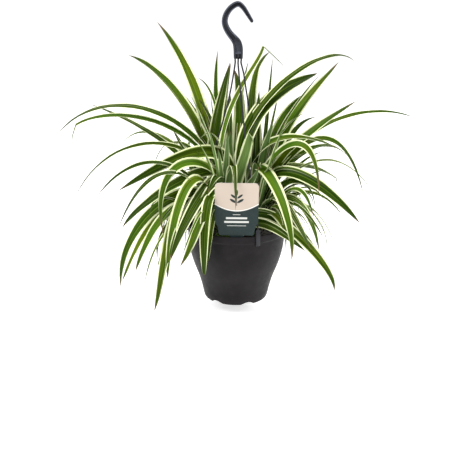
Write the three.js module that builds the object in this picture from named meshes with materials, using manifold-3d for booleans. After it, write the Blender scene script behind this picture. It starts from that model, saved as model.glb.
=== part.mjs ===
// A variegated spider plant in a charcoal plastic hanging pot, with its hook, its three
// hanger arms and a plant label.
// Millimetres, +Z up. The origin is the crown of the hook, where it bears on what it hangs from.
// Heights are measured up from the base of the pot, except on the hook, where they are measured
// from the origin. Compass angles run from the front, which is -Y, towards +X.

import * as THREE from 'three';
import { mergeVertices } from 'three/addons/utils/BufferGeometryUtils.js';
import Module from 'manifold-3d';

// Overall sizes
const hookToBase = 445;
const gap = 0.3;

// Pot
const potSides = 36;
const potHeight = 119;
const rimRadius = 75;
const bandDepth = 11;
const wall = 1.8;
const footRadius = 44;
const floorThickness = 7.6;
const notch = { count: 6, firstAngle: 23, width: 24, height: 5.2, reach: 9 };
const drain = { radius: 4, ring: 34, sides: 8 };

// Soil
const soilHeight = 99;
const soilMound = 4;

// Label
const label = { width: 64, rise: 82, thickness: 1, corner: 6, lean: 5, out: 70.3, foot: 121 };
const labelFoot = { width: 52, taper: 20 };
const labelStake = { neck: 22, width: 14, shoulder: 14, depth: 43 };

// Hook: the widths of its hub are given with their heights
const hookDepth = 8;
const hub = { depth: 15, chamfer: 1.4 };
const hubWidths = { top: [12, -53], waist: [14, -58], foot: [13.6, -74] };
const hubFoot = hubWidths.foot[1];
const hubPanel = { width: 8, top: -56, bottom: -70.5, recess: 1.2, rib: 1.6, ribAt: -64 };
const socket = { ring: 5.2, turn: -25, radius: 1.5, depth: 8, sides: 8 };

// Hanger arms: the compass angle of the clip, and how late the rod bows out to it. The sockets
// under the hub are turned a little from the clips.
const arms = {
  front: { angle: 25, bow: 1.3 },
  back: { angle: 145, bow: 1 },
  left: { angle: 265, bow: 1.5 },
};
const rodRadius = 1.1;
const clip = { width: 6.5, thickness: 2, above: 10, outside: 15, inside: 8 };

// Rosettes
const crownRing = 28;
const stool = { length: 44, width: 16, foot: 84, top: 108 };
const bladeSteps = 7;
const bladeThickness = 1.3;
const shoulder = 0.35;
const taper = 2.6;
const channel = 0.34;
const shortestEdge = 0.002;

const radians = THREE.MathUtils.degToRad;

/** The point at a compass angle, a distance out from an axis, and a height. */
function polar(angle, out, height, x = 0, y = 0) {
  const a = radians(angle);
  return new THREE.Vector3(x + out * Math.sin(a), y - out * Math.cos(a), height);
}

const wasm = await Module();
wasm.setup();

/** Keeps only the positions of a geometry, with shared corners, and turns its faces outwards. */
function closed(geometry) {
  const plain = new THREE.BufferGeometry();
  plain.setAttribute('position', geometry.getAttribute('position').clone());
  if (geometry.index) plain.setIndex(geometry.index.clone());
  const merged = mergeVertices(plain, 1e-4);
  const p = merged.getAttribute('position');
  const corners = Array.from(merged.index.array);
  const faces = [];
  for (let i = 0; i < corners.length; i += 3) {
    const [a, b, c] = corners.slice(i, i + 3);
    if (a !== b && b !== c && c !== a) faces.push([a, b, c]);
  }
  const [u, v, w] = [new THREE.Vector3(), new THREE.Vector3(), new THREE.Vector3()];
  let volume = 0;
  for (const [a, b, c] of faces) {
    u.fromBufferAttribute(p, a);
    v.fromBufferAttribute(p, b);
    w.fromBufferAttribute(p, c);
    volume += u.dot(v.cross(w));
  }
  merged.setIndex((volume < 0 ? faces.map(([a, b, c]) => [a, c, b]) : faces).flat());
  return merged;
}

function toSolid(geometry) {
  const plain = closed(geometry);
  return new wasm.Manifold(new wasm.Mesh({
    numProp: 3,
    vertProperties: new Float32Array(plain.getAttribute('position').array),
    triVerts: new Uint32Array(plain.index.array),
  }));
}

/** The outer body alone, without the hollows that crossing blades shut in or edges too short to keep. */
function outerBody(solid) {
  return solid.decompose().sort((a, b) => b.volume() - a.volume())[0].simplify(shortestEdge);
}

function toGeometry(solid) {
  const mesh = solid.getMesh();
  const geometry = new THREE.BufferGeometry();
  const positions = new Float32Array(mesh.numVert * 3);
  for (let i = 0; i < mesh.numVert; i += 1) {
    for (let k = 0; k < 3; k += 1) positions[i * 3 + k] = mesh.vertProperties[i * mesh.numProp + k];
  }
  geometry.setAttribute('position', new THREE.BufferAttribute(positions, 3));
  geometry.setIndex(Array.from(mesh.triVerts));
  geometry.computeVertexNormals();
  return geometry;
}

/** Turns a profile of [radius, height] points about the vertical axis. */
function lathe(profile, sides) {
  const points = profile.map(([r, z]) => new THREE.Vector2(r, z));
  return new THREE.LatheGeometry(points, sides).rotateX(Math.PI / 2);
}

function upright(radius, low, high, sides, x = 0, y = 0) {
  const geometry = new THREE.CylinderGeometry(radius, radius, high - low, sides);
  return geometry.rotateX(Math.PI / 2).translate(x, y, (low + high) / 2);
}

function block(width, depth, low, high, x = 0, y = 0) {
  return new THREE.BoxGeometry(width, depth, high - low).translate(x, y, (low + high) / 2);
}

function material(colour, roughness, metalness = 0) {
  return new THREE.MeshStandardMaterial({ color: colour, roughness, metalness });
}

function piece(name, geometry, finish) {
  const mesh = new THREE.Mesh(geometry, finish);
  mesh.name = name;
  return mesh;
}

const charcoal = material(0x353337, 0.62);
const slate = material(0x3c3e44, 0.5);
const peat = material(0x33271c, 0.95);
const card = material(0x2f3f3e, 0.55);
const leafGreen = material(0x6b8f3a, 0.42);

// The label leans out over the rim, which its foot stands just inside
const labelPlace = new THREE.Matrix4().makeTranslation(0, -label.out, label.foot)
  .multiply(new THREE.Matrix4().makeRotationX(radians(label.lean)));

// The side of the pot, from above its rounded foot up to the band round its rim
const potSide = new THREE.SplineCurve([
  [50.2, 9], [53, 21], [57.8, 37], [65.5, 57], [71.4, 78], [74, 96], [74.3, potHeight - bandDepth - 0.6],
].map(([r, z]) => new THREE.Vector2(r, z))).getPoints(6).map((p) => [p.x, p.y]);

const inWall = potSide.filter((_, i) => i % 2 === 0).map(([r, z]) => [r - wall, z]);

function makePot() {
  const outside = [
    [0, 0], [footRadius, 0], [47.3, 1.6], [49.2, 4.6], ...potSide,
    [rimRadius, potHeight - bandDepth], [rimRadius, potHeight - 1.4], [rimRadius - 1, potHeight],
  ];
  const lip = rimRadius - wall - 0.8;
  const inside = [
    [lip + 0.6, potHeight], [lip, potHeight - 1],
    ...inWall.slice().reverse(),
    [46, floorThickness], [0, floorThickness],
  ];
  let solid = toSolid(lathe([...outside, ...inside], potSides));
  for (let i = 0; i < notch.count; i += 1) {
    const angle = notch.firstAngle + (360 / notch.count) * i;
    const arch = new THREE.Shape();
    arch.moveTo(-notch.width / 2, -1);
    arch.quadraticCurveTo(0, 2 * notch.height + 1, notch.width / 2, -1);
    const cut = new THREE.ExtrudeGeometry(arch, {
      depth: notch.reach + 4, bevelEnabled: false, curveSegments: 4,
    });
    cut.rotateX(Math.PI / 2).translate(0, -footRadius + notch.reach, 0).rotateZ(radians(angle));
    solid = solid.subtract(toSolid(cut));
    const at = polar(angle, drain.ring, 0);
    solid = solid.subtract(toSolid(upright(drain.radius, -1, floorThickness + 1, drain.sides, at.x, at.y)));
  }
  return piece('pot', toGeometry(solid), charcoal);
}

function makeSoil(crowns) {
  const profile = [
    [0, floorThickness + gap], [45.4, floorThickness + gap],
    ...inWall.filter(([, z]) => z < soilHeight).map(([r, z]) => [r - gap, z]),
    [58, soilHeight], [30, soilHeight + soilMound], [0, soilHeight + soilMound],
  ];
  let solid = toSolid(lathe(profile, potSides));
  for (const angle of crowns) {
    const hole = makeStool(angle, stool.foot - gap, soilHeight + 20, gap);
    solid = solid.subtract(toSolid(hole));
  }
  const slot = block(labelStake.width + 2 * gap, label.thickness + 2 * gap, -labelStake.depth - gap, 0);
  solid = solid.subtract(toSolid(slot.applyMatrix4(labelPlace)));
  return piece('potting_soil', toGeometry(solid), peat);
}

function makeLabel() {
  const half = label.width / 2;
  const foot = labelFoot.width / 2;
  const neck = labelStake.neck / 2;
  const stake = labelStake.width / 2;
  const outline = new THREE.Shape();
  outline.moveTo(-stake, -labelStake.depth);
  outline.lineTo(stake, -labelStake.depth);
  outline.lineTo(stake, -labelStake.shoulder);
  outline.lineTo(neck, 0);
  outline.lineTo(foot - 2, 0);
  outline.quadraticCurveTo(foot, 1, foot + 1, 9);
  outline.quadraticCurveTo(foot + 3, labelFoot.taper - 4, half, labelFoot.taper);
  outline.lineTo(half, label.rise - label.corner);
  outline.absarc(half - label.corner, label.rise - label.corner, label.corner, 0, Math.PI / 2);
  outline.absarc(label.corner - half, label.rise - label.corner, label.corner, Math.PI / 2, Math.PI);
  outline.lineTo(-half, labelFoot.taper);
  outline.quadraticCurveTo(-foot - 3, labelFoot.taper - 4, -foot - 1, 9);
  outline.quadraticCurveTo(-foot, 1, 2 - foot, 0);
  outline.lineTo(-neck, 0);
  outline.lineTo(-stake, -labelStake.shoulder);
  const plate = new THREE.ExtrudeGeometry(outline, {
    depth: label.thickness, bevelEnabled: false, curveSegments: 4,
  });
  plate.rotateX(Math.PI / 2).translate(0, label.thickness / 2, 0);
  const mesh = piece('plant_label', closed(plate), card);
  mesh.applyMatrix4(labelPlace);
  return mesh;
}

// The hook's middle line from the hub up and over to its tip: across, height, width
const hookLine = [
  [0, -64, 12.6], [-0.5, -58, 13.6], [-2.4, -51, 12.7], [-7.2, -44.5, 11], [-12.9, -38, 9.8],
  [-18, -29.5, 9.2], [-20.2, -19.5, 8.9], [-18, -9, 8.6], [-10.8, 0.2, 8.2], [-1, 4, 8],
  [6.2, -0.8, 7], [12.9, -10.4, 6], [19, -19.8, 4.9],
];

function makeHook() {
  const path = new THREE.CatmullRomCurve3(hookLine.map(([x, z, w]) => new THREE.Vector3(x, z, w)));
  const steps = 26;
  const near = [];
  const far = [];
  for (let i = 0; i <= steps; i += 1) {
    const at = path.getPoint(i / steps);
    const along = path.getTangent(i / steps);
    const across = new THREE.Vector2(-along.y, along.x).normalize().multiplyScalar(at.z / 2);
    near.push(new THREE.Vector2(at.x - across.x, at.y - across.y));
    far.unshift(new THREE.Vector2(at.x + across.x, at.y + across.y));
  }
  const end = path.getPoint(1);
  const onward = path.getTangent(1).setZ(0).normalize().multiplyScalar(end.z / 2);
  const tip = new THREE.Vector2(end.x + onward.x, end.y + onward.y);
  const bevel = 1.6;
  const outline = new THREE.Shape([...near, tip, ...far]);
  const bar = new THREE.ExtrudeGeometry(outline, {
    depth: hookDepth - 2 * bevel, bevelEnabled: true, bevelSize: bevel, bevelOffset: -bevel,
    bevelThickness: bevel, bevelSegments: 1,
  });
  bar.rotateX(Math.PI / 2).translate(0, hookDepth / 2 - bevel, 0);
  let solid = toSolid(bar);
  const right = [hubWidths.foot, hubWidths.waist, hubWidths.top];
  const left = [hubWidths.top, hubWidths.waist, hubWidths.foot].map(([w, z]) => [-w, z]);
  const face = new THREE.Shape([...right, ...left].map(([w, z]) => new THREE.Vector2(w / 2, z)));
  const body = new THREE.ExtrudeGeometry(face, {
    depth: hub.depth - 2 * hub.chamfer, bevelEnabled: true, bevelSize: hub.chamfer,
    bevelOffset: -hub.chamfer, bevelThickness: hub.chamfer, bevelSegments: 1,
  });
  body.rotateX(Math.PI / 2).translate(0, hub.depth / 2 - hub.chamfer, 0);
  solid = solid.add(toSolid(body));
  const halfRib = hubPanel.rib / 2;
  const recesses = [
    [hubPanel.bottom, hubPanel.ribAt - halfRib],
    [hubPanel.ribAt + halfRib, hubPanel.top],
  ];
  for (const y of [-hub.depth / 2, hub.depth / 2]) {
    for (const [low, high] of recesses) {
      solid = solid.subtract(toSolid(block(hubPanel.width, 2 * hubPanel.recess, low, high, 0, y)));
    }
  }
  for (const { angle } of Object.values(arms)) {
    const at = polar(angle + socket.turn, socket.ring, 0);
    const hole = upright(socket.radius, hubFoot - 1, hubFoot + socket.depth, socket.sides, at.x, at.y);
    solid = solid.subtract(toSolid(hole));
  }
  return piece('hook', toGeometry(solid), slate);
}

function makeArm(name, { angle, bow }) {
  const rimTop = potHeight + gap;
  const bridge = rimTop + clip.thickness;
  const outer = rimRadius + gap;
  const inner = rimRadius - wall - 0.8 - gap;
  const section = new THREE.Shape([
    [outer + clip.thickness, rimTop - clip.outside], [outer + clip.thickness, bridge + 2],
    [outer + clip.thickness - 0.6, potHeight + clip.above], [outer - 0.6, potHeight + clip.above],
    [outer - 1.2, bridge + 2], [outer - 2.2, bridge], [inner - clip.thickness, bridge],
    [inner - clip.thickness, rimTop - clip.inside], [inner, rimTop - clip.inside],
    [inner, rimTop], [outer, rimTop], [outer, rimTop - clip.outside],
  ].map(([r, z]) => new THREE.Vector2(r, z)));
  const hook = new THREE.ExtrudeGeometry(section, { depth: clip.width, bevelEnabled: false });
  hook.rotateX(Math.PI / 2).translate(0, clip.width / 2, 0).rotateZ(radians(angle - 90));

  const start = polar(angle + socket.turn, socket.ring, hookToBase + hubFoot);
  const end = polar(angle, rimRadius + 0.6, start.z);
  const drop = start.z - potHeight - clip.above;
  const down = (point, depth) => point.setZ(start.z - depth);
  const route = [gap - socket.depth, -2, 3, 8].map((depth) => down(start.clone(), depth));
  for (const fall of [0.1, 0.2, 0.32, 0.5, 0.75, 1]) {
    route.push(down(start.clone().lerp(end, fall ** bow), drop * fall));
  }
  route.push(polar(angle, rimRadius + 1, potHeight + clip.above - 3));
  const round = new THREE.Shape();
  round.absarc(0, 0, rodRadius, 0, 2 * Math.PI);
  const rod = new THREE.ExtrudeGeometry(round, {
    steps: 18, curveSegments: 4, extrudePath: new THREE.CatmullRomCurve3(route),
  });
  return piece(name, toGeometry(toSolid(hook).add(toSolid(rod))), slate);
}

// Leaves by rosette: compass angle, width, how far the face turns to the front, then the reach and
// height of two places on the way and of the tip
const leaves = {
  back: [
    [-128, 20, 35, [35, 220], [75, 325], [145, 410]],
    [-112, 19, 45, [42, 234], [105, 323], [171, 361]],
    [-140, 8, 10, [30, 180], [60, 245], [115, 295]],
    [-150, 13, 10, [20, 200], [42, 285], [36, 376]],
    [-110, 20, 62, [28, 195], [20, 280], [0, 362]],
    [-140, 17, 38, [20, 190], [19, 272], [-2, 362]],
    [150, 22, 30, [25, 195], [30, 282], [12, 350]],
    [130, 10, 10, [-14, 242], [30, 330], [66, 379]],
    [135, 17, 38, [42, 244], [50, 329], [88, 370]],
    [-97, 11, 40, [45, 235], [160, 290], [275, 235]],
    [-104, 10, 35, [45, 222], [148, 269], [250, 251]],
    [-116, 10, 35, [65, 190], [155, 245], [255, 275]],
    [-122, 8, 30, [65, 195], [155, 235], [230, 175]],
    [-130, 12, 30, [40, 155], [80, 200], [120, 245]],
    [10, 14, 0, [3, 180], [6, 225], [10, 262]],
    [-15, 14, 0, [8, 185], [20, 225], [46, 240]],
  ],
  front: [
    [-94, 9, 35, [40, 222], [143, 239], [236, 146]],
    [-78, 22, 60, [0, 222], [68, 230], [163, 183]],
    [-84, 20, 60, [52, 173], [127, 127], [160, 20]],
    [-80, 11, 45, [83, 150], [134, 95], [159, 40]],
    [-70, 15, 50, [69, 159], [116, 120], [142, 62]],
    [-74, 19, 45, [3, 204], [88, 186], [159, 129]],
    [-60, 17, 45, [16, 202], [84, 221], [104, 117]],
    [-66, 10, 30, [50, 145], [95, 130], [110, 80]],
    [-52, 17, 45, [76, 168], [110, 99], [131, 11]],
    [-50, 16, 45, [58, 203], [98, 143], [110, 60]],
    [-46, 13, 35, [42, 181], [90, 143], [111, 95]],
    [-40, 20, 35, [14, 196], [75, 163], [122, 96]],
    [-32, 19, 30, [33, 185], [71, 147], [123, 91]],
    [-25, 16, 5, [55, 178], [73, 116], [70, 64]],
    [50, 18, -42, [15, 165], [29, 215], [46, 268]],
    [-22, 15, 5, [12, 180], [34, 205], [70, 190]],
    [12, 12, 0, [20, 180], [48, 226], [68, 164]],
  ],
  right: [
    [118, 11, 38, [-22, 254], [78, 352], [174, 354]],
    [130, 24, 46, [-20, 254], [50, 318], [125, 338]],
    [115, 19, 55, [36, 233], [84, 306], [138, 360]],
    [125, 19, 48, [21, 195], [45, 270], [110, 315]],
    [135, 12, 35, [35, 175], [75, 240], [140, 265]],
    [92, 18, 45, [25, 195], [80, 260], [150, 310]],
    [104, 8, 40, [62, 236], [164, 284], [254, 273]],
    [72, 18, 20, [-9, 208], [45, 256], [130, 245]],
    [62, 17, 40, [9, 190], [66, 251], [106, 176]],
    [82, 12, 45, [43, 212], [108, 255], [166, 164]],
    [87, 16, 45, [31, 202], [98, 204], [120, 190]],
    [66, 20, 45, [32, 200], [104, 190], [168, 141]],
    [31, 19, 25, [2, 206], [69, 179], [103, 88]],
    [62, 14, 35, [45, 165], [85, 150], [110, 90]],
    [56, 11, 30, [40, 160], [75, 185], [105, 145]],
    [50, 16, 38, [30, 134], [110, 100], [152, 46]],
    [58, 15, 30, [14, 142], [64, 130], [127, 71]],
    [5, 15, 0, [8, 175], [20, 215], [44, 215]],
    [40, 15, 35, [36, 144], [60, 137], [80, 118]],
    [44, 16, 10, [36, 165], [78, 150], [118, 105]],
    [70, 16, 40, [25, 155], [55, 190], [100, 180]],
  ],
};

// The leaves that fill out each rosette: how many, and the compass angles that they spread over
const fillers = {
  back: { hanging: [6, 158, 252], arching: [5, 152, 244], upright: [3, 165, 235] },
  front: { hanging: [2, -88, -56], arching: [2, -84, -45], upright: [1, -92, -60] },
  right: { hanging: [3, 85, 132], arching: [2, 60, 134], upright: [2, 50, 130] },
};

// The three ways in which filler leaves grow: the places on the way and the tip, and how far the
// last of them may stray
const habits = {
  hanging: { width: 11, lower: [50, 145], upper: [98, 128], tip: [128, 62], stray: [28, 34] },
  arching: { width: 12, lower: [45, 190], upper: [108, 222], tip: [165, 165], stray: [34, 40] },
  upright: { width: 12, lower: [14, 195], upper: [34, 265], tip: [70, 322], stray: [36, 38] },
};

const crownAngles = { front: -35, right: 85, back: 205 };

let seed = 4711;
function random() {
  seed = (seed * 16807) % 2147483647;
  return seed / 2147483647;
}

function fillerLeaves(rosette) {
  const rows = [];
  for (const [habit, [count, from, to]] of Object.entries(fillers[rosette])) {
    const { width, lower, upper, tip, stray } = habits[habit];
    for (let i = 0; i < count; i += 1) {
      const angle = from + ((to - from) * (i + 0.2 + 0.6 * random())) / count;
      const far = random() - 0.5;
      const high = random() - 0.5;
      rows.push([
        angle, width + 4 * (random() - 0.5), 20 * random(),
        [lower[0] + 8 * far, lower[1] + 12 * high],
        [upper[0] + 0.7 * stray[0] * far, upper[1] + 0.6 * stray[1] * high],
        [tip[0] + stray[0] * 2 * far, tip[1] + stray[1] * 2 * high],
      ]);
    }
  }
  return rows;
}

/** The share of a leaf's full width that it has at t, from 0 at its root to 1 at its tip. It is
 * widest at the shoulder. */
function bladeWidth(t) {
  const root = 0.5 + 0.5 * Math.min(1, t / shoulder);
  return root * (1 - Math.max(0, (t - shoulder) / (1 - shoulder)) ** taper);
}

/** One leaf: a channelled blade on a curve from the crown through its two places to its tip. */
function makeLeaf(crownAngle, [angle, width, turn, lower, upper, tip]) {
  const crown = polar(crownAngle, crownRing, 0);
  const off = ((angle - crownAngle + 540) % 360) - 180;
  const along = (THREE.MathUtils.clamp(off / 60, -1, 1) * (stool.length - stool.width)) / 2;
  const root = polar(crownAngle + 90, along, stool.top - 7, crown.x, crown.y);
  const [a, b, end] = [lower, upper, tip].map(([out, z]) => polar(angle, out, z, crown.x, crown.y));
  const sum = (...terms) => terms.reduce((v, [k, p]) => v.addScaledVector(p, k), new THREE.Vector3());
  const path = new THREE.CubicBezierCurve3(
    root,
    sum([-5 / 6, root], [3, a], [-1.5, b], [1 / 3, end]),
    sum([1 / 3, root], [-1.5, a], [3, b], [-5 / 6, end]),
    end,
  );
  const level = new THREE.Vector3(Math.cos(radians(angle)), Math.sin(radians(angle)), 0);
  const sense = Math.sin(radians(angle)) < 0 ? -1 : 1;
  const points = [];
  for (let i = 0; i < bladeSteps; i += 1) {
    const t = i / bladeSteps;
    const at = path.getPoint(t);
    const onward = path.getTangent(t);
    const roll = radians(turn) * sense * Math.min(1, t / 0.4);
    const across = level.clone().applyAxisAngle(onward, roll);
    const face = onward.clone().cross(across);
    const half = (width * bladeWidth(t)) / 2;
    const rise = channel * half;
    const midrib = bladeThickness / 2;
    for (const [side, lift] of [[-half, rise], [0, midrib], [half, rise], [0, -midrib]]) {
      points.push(at.clone().addScaledVector(across, side).addScaledVector(face, lift));
    }
  }
  points.push(end);
  const faces = [3, 2, 1, 3, 1, 0];
  const last = 4 * (bladeSteps - 1);
  for (let from = 0; from <= last; from += 4) {
    for (let corner = 0; corner < 4; corner += 1) {
      const a = from + corner;
      const b = from + ((corner + 1) % 4);
      if (from === last) faces.push(a, b, last + 4);
      else if (corner % 2 === 0) faces.push(a, b, b + 4, a, b + 4, a + 4);
      else faces.push(a, b, a + 4, b, b + 4, a + 4);
    }
  }
  const geometry = new THREE.BufferGeometry();
  geometry.setAttribute('position', new THREE.Float32BufferAttribute(points.flatMap((v) => v.toArray()), 3));
  geometry.setIndex(faces);
  return geometry;
}

/** The short stool that a rosette's leaves grow from, as long across the pot as the rosette is wide. */
function makeStool(angle, low, high, spare = 0) {
  const half = stool.width / 2 + spare;
  const reach = (stool.length - stool.width) / 2;
  const outline = new THREE.Shape();
  outline.absarc(reach, 0, half, -Math.PI / 2, Math.PI / 2);
  outline.absarc(-reach, 0, half, Math.PI / 2, (3 * Math.PI) / 2);
  const geometry = new THREE.ExtrudeGeometry(outline, {
    depth: high - low, bevelEnabled: false, curveSegments: 4,
  });
  const at = polar(angle, crownRing, low);
  return geometry.rotateZ(radians(angle)).translate(at.x, at.y, at.z);
}

function makeRosette(name, angle, rows) {
  let solid = toSolid(makeStool(angle, stool.foot, stool.top));
  for (const row of rows) solid = solid.add(toSolid(makeLeaf(angle, row)));
  return piece(name, toGeometry(outerBody(solid)), leafGreen);
}

const potted = new THREE.Group();
potted.position.z = -hookToBase;
potted.add(makePot(), makeSoil(Object.values(crownAngles)), makeLabel());
for (const [name, arm] of Object.entries(arms)) potted.add(makeArm(`hanger_arm_${name}`, arm));
for (const [name, angle] of Object.entries(crownAngles)) {
  potted.add(makeRosette(`rosette_${name}`, angle, [...leaves[name], ...fillerLeaves(name)]));
}

const spiderPlant = new THREE.Group();
spiderPlant.add(makeHook(), potted);

export default spiderPlant;
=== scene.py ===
# A variegated spider plant in a charcoal hanging pot: the finished surface of every piece, and the
# studio it stands in. Places on the plant are given in millimetres, above the base of the pot, and
# compass angles run from the front, which is -Y, towards +X. Pieces are built in metres.

import random
from math import cos, exp, pi, radians, sin, sqrt

import bmesh
import bpy
from bpy.props import FloatProperty, FloatVectorProperty, IntProperty, PointerProperty
from bpy.types import NodeSocket, Operator, Panel, PropertyGroup
from mathutils import Matrix, Quaternion, Vector, noise


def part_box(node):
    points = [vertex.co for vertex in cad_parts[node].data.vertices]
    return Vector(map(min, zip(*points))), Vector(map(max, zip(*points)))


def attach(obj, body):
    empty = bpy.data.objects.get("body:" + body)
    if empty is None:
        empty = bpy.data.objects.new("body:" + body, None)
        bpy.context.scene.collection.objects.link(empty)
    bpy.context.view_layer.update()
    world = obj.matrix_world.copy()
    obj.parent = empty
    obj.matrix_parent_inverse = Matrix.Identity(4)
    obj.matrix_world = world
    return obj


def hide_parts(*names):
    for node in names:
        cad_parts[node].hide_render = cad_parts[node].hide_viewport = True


bl_info = {
    "name": "Hanging Spider Plant",
    "version": (1, 0, 0),
    "blender": (4, 5, 0),
    "location": "3D Viewport > Sidebar > Spider Plant",
    "description": "Builds a variegated spider plant in a hanging pot, with its hanger and label",
    "category": "Add Mesh",
}

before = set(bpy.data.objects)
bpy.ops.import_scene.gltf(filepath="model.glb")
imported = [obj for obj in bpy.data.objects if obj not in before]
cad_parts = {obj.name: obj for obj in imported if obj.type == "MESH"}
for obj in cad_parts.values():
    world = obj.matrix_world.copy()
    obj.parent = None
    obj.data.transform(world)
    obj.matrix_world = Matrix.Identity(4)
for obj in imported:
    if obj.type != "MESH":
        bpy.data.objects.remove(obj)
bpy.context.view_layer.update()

MM = 0.001
MERGE = 0.001 * MM
BODY = "root"
POT_LOW, POT_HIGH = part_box("pot")
BASE = POT_LOW.z
SHARP = radians(38)
LEAF_SHARP = radians(60)

# Pot, in millimetres: its side from above the rounded foot to under the band
POT_SIDE = [(50.2, 9), (53, 21), (57.8, 37), (65.5, 57), (71.4, 78), (74, 96), (74.3, 107.4)]
POT_STEPS = 6
POT_SEGMENTS = 144
FOOT_BEND = {"out": 5.2, "rise": 6.2}
FOOT_FLAT = 6
RIM_ROLL = 1.3
LIP = 0.8
# The foot of the band, from its own corner, and the rim's inner edge, from the top of the lip
BAND_EDGE = [(-0.55, -0.35), (-0.12, 0.1), (0, 0.8)]
LIP_EDGE = [(0.5, -0.15), (0, -0.9)]
FLOOR = {"radius": 46, "height": 7.6}
NOTCH = {
    "count": 6, "first": 23, "width": 24, "height": 5.2, "reach": 9, "dip": 0.4, "under": 2, "past": 8,
}
DRAIN = {"radius": 4, "ring": 34}
POT_ROUGHNESS = 0.5
POT_GRAIN = 0.08 * MM

# Hook, in millimetres below the crown: across, height and width of the bar, from the foot of the hub
HOOK_LINE = [
    (0, -74, 13.2), (0, -66, 13.8), (-0.4, -58.5, 13.8), (-2.4, -51, 12.7), (-7.2, -44.5, 11),
    (-12.9, -38, 9.8), (-18, -29.5, 9.2), (-20.1, -20.6, 8.9), (-17.6, -10.4, 8.6), (-10.6, -1, 8.2),
    (-1, 4, 8), (6.2, -0.8, 7), (12.9, -10.4, 6), (19, -19.8, 4.9),
]
HOOK_STEPS = 10
HUB = {
    "neck": -46, "waist": -58, "bottom": -74, "depth": 15, "lip": 1.6, "rib": 1.8, "rib_at": -65.4,
    "foot_share": 0.93, "foot_bevel": 0.5,
}

# The bar's section, as shares of its half width and half depth, with a groove down each face that
# runs out towards the tip
BAR_CORNER = [(1, 0), (1, 0.62), (0.95, 0.86), (0.8, 1), (0.6, 1)]
BAR_GROOVE = [(0.5, 1), (0.2, 1)]
GROOVE_DEPTH = 2.2
GROOVE_RUNOUT = 12
TIP_ROUNDS = ((0.35, 0.94), (0.65, 0.78), (0.87, 0.52), (1.0, 0.16))
TIP_DEPTH = 0.45

# Painted light and shade on the hook, from 0 for painted shade in a recess over 0.5 for plain to 1 for a
# painted highlight on an edge, and over how many millimetres the painted shade under the neck runs out
HOOK_PAINTED_LIGHT = {"edge": 0.8, "hub_edge": 0.45, "groove": 0.42, "neck": 0.3, "hub": 0.62, "foot": 0.2}
HOOK_PAINTED_LIGHT_RUNOUT = 10
# How far the painted shade darkens and the painted highlight lightens the hook's plastic
PAINTED_SHADE_GAIN = (0.3, 0.3, 0.3)
PAINTED_HIGHLIGHT_GAIN = (3.4, 3.4, 3.4)

# Hanger arms: compass angle at the rim, and how late each rod bows out. The sockets under the hub
# are turned a little from the clips.
ARMS = {"front": (25, 1.3), "back": (145, 1.0), "left": (265, 1.5)}
SOCKET_RING = 5.2
SOCKET_TURN = -25
ROD_STARTS = (7.7, 2, -3, -8)
ROD_FALLS = (0.1, 0.2, 0.32, 0.5, 0.75, 1)
ROD_OUT = 0.6
ROD_FOOT = {"out": 1, "sunk": 3}
ROD_SIDES = 12
ROD_STEPS = 6
CLIP = {
    "thickness": 2, "above": 10, "outside": 15, "inside": 8, "lean": 0.6, "fillet": 2,
    "round": 0.45,
}
HANGER_ROUGHNESS = 0.42
HANGER_GRAIN = 0.05 * MM
GAP = 0.3

# Soil: its foot on the pot's floor, the dip at the wall, how deep and how near the wall it is rough,
# and its bumps as height and closeness
SOIL = {"foot": 45.4, "rings": 26, "segments": 96, "dip": 1.2, "deep": 2, "margin": 0.5}
SOIL_BUMPS = ((1.6, 150), (0.8, 420))
CRUMB_MARGIN = 3
CRUMB_SEED = 31
CRUMB_DENTS = 700
PALE_FIBRE = (0.32, 0.25, 0.17)

# Label: where the foot of the card stands, and its outline
LABEL_AT = {"out": 70.3, "height": 121}
LABEL_FOOT = {"half": 26, "taper": 20}
LABEL_SHOULDER = [(-2, 0), (0, 3), (1.2, 10), (3, 16)]
LABEL_STAKE = {"neck": 11, "half": 7, "shoulder": 14, "depth": 43}
LABEL_CORNER = 6
LABEL_STEPS = 4
LABEL_BEVEL = 0.18
# The plain bars and the sprig printed on the card: height and half sizes, or for a leaflet its
# distance from the middle, height, half length, half width and tilt
CARD_BARS = [(33, 5.5, 0.4), (27.5, 15.5, 1.5), (21.5, 18, 1.5), (15.5, 14, 0.4)]
CARD_LEAFLETS = [(0, 67.5, 4.6, 1.7, 90), (4.8, 61.5, 4.8, 1.7, 38), (5.4, 54.5, 5.4, 1.9, 32)]
CARD_STEM = (56, 0.5, 9)

# Rosettes, each on a short stool: where they stand, how many degrees a leaf turns off from its
# rosette's own angle to grow from the stool's end, and the rings of the stool, as height from -1
# to 1 and share of its width
CROWN_RING = 28
CROWN_SPREAD = 60
STOOL = {"length": 44, "width": 16, "foot": 84, "top": 108, "sink": 7}
STOOL_RINGS = ((-1.0, 0.9), (-0.4, 1.0), (0.4, 0.98), (0.8, 0.82), (1.0, 0.5))
STOOL_SIDES = 24
FOLD_SHARE = 0.2
CROWN_ANGLES = {"front": -35, "right": 85, "back": 205}
ROSETTE_SEED = 900

# Blades: faces round and along, the share of the length where one is widest and has turned its
# face, the most that it sways and twists, and its ripple's height and length
BLADE_GRID = (16, 30)
WIDEST = 0.35
TURNED = 0.4
SWAY = 2.2
TWIST = 9
RIPPLE = (0.2, 0.6)
RIPPLE_LENGTH = 55
DRY_TIP = (0.16, 0.10, 0.05)
PALE_ROOT = (0.24, 0.32, 0.1)
FRESH = (0.72, 1, 1.4)
OLIVE = (1.24, 1.04, 0.4)
SHADED_CREAM = (0.88, 0.92, 0.72)

# Lights: place, size and share of the main light's power
LIGHTS = {
    "key_light": ((-1.5, -1.2, 1.6), 1.4, 1.0),
    "fill_light": ((1.8, -0.6, 0.8), 1.2, 0.4),
    "rim_light": ((0.6, 1.7, 1.0), 1.2, 0.35),
}
LIT_PLACE = (0.0, 0.0, -0.25)
CAMERA_AIM = (-0.0020, 0.0, -0.3463)
CAMERA_ROLL = radians(0.6)
FLOOR_RADIUS = 14.0

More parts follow.
